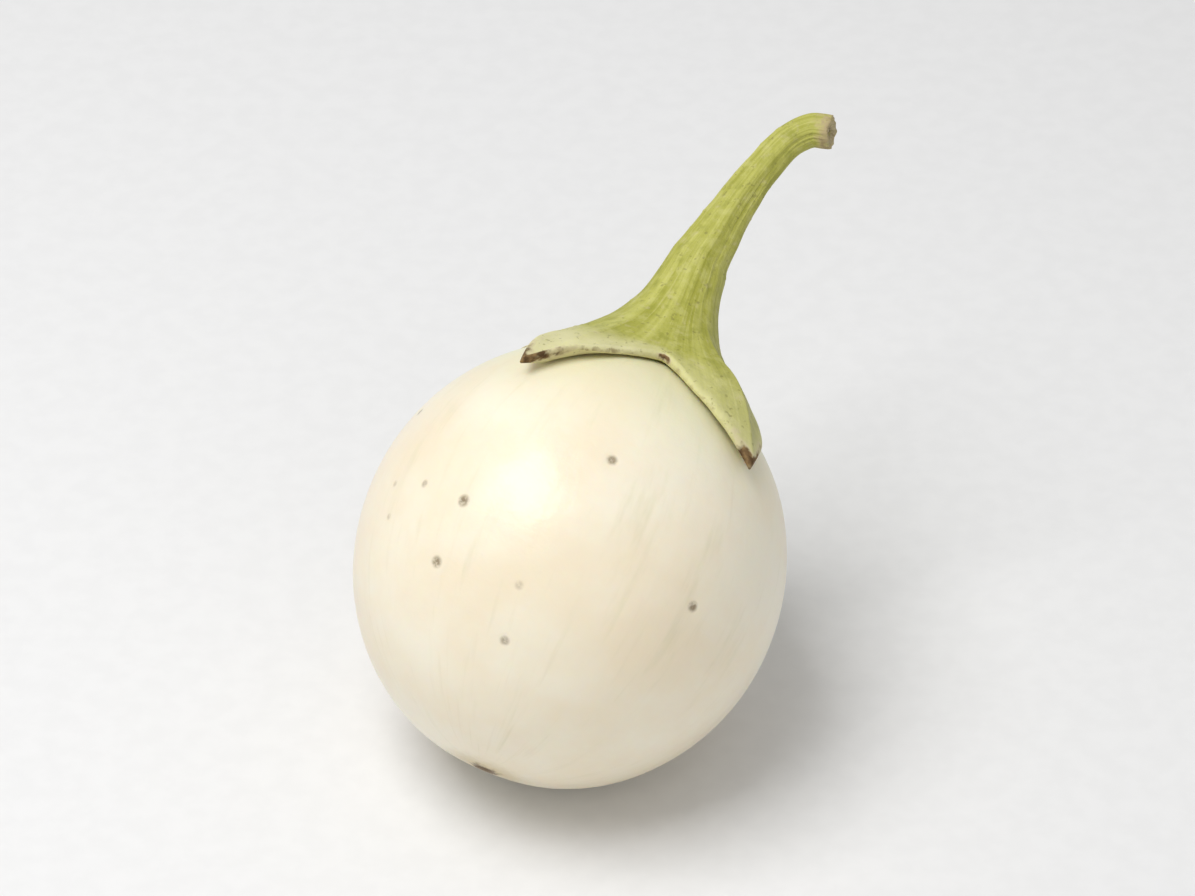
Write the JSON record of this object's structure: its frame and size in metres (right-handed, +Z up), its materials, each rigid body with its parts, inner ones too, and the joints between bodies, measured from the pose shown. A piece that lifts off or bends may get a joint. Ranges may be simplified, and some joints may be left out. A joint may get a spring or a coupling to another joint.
{
  "type": "thai eggplant",
  "caption": "Round cream-white Thai eggplant, as picked, with a pointed green calyx and a curved cut stem, lying on its flank.",
  "frame": {"origin": "middle of the flat spot that the fruit rests on", "axes": "+Z up from the surface that it rests on; -Y towards the viewer of the picture, +X to the viewer's right; the stem leans back and to the right"},
  "size_m": [0.0453, 0.0546, 0.0479],
  "materials": {
    "skin": "smooth waxy cream-white skin with a soft shine, faint lengthwise streaks and a few small brown specks",
    "green": "fleshy yellow-green calyx and stem with fine lengthwise lines, paler along the sepals, dry and brown at their tips and at the cut end of the stem"
  },
  "bodies": {
    "root": {"fruit": "skin", "calyx": "green", "stem": "green"}
  },
  "joints": []
}
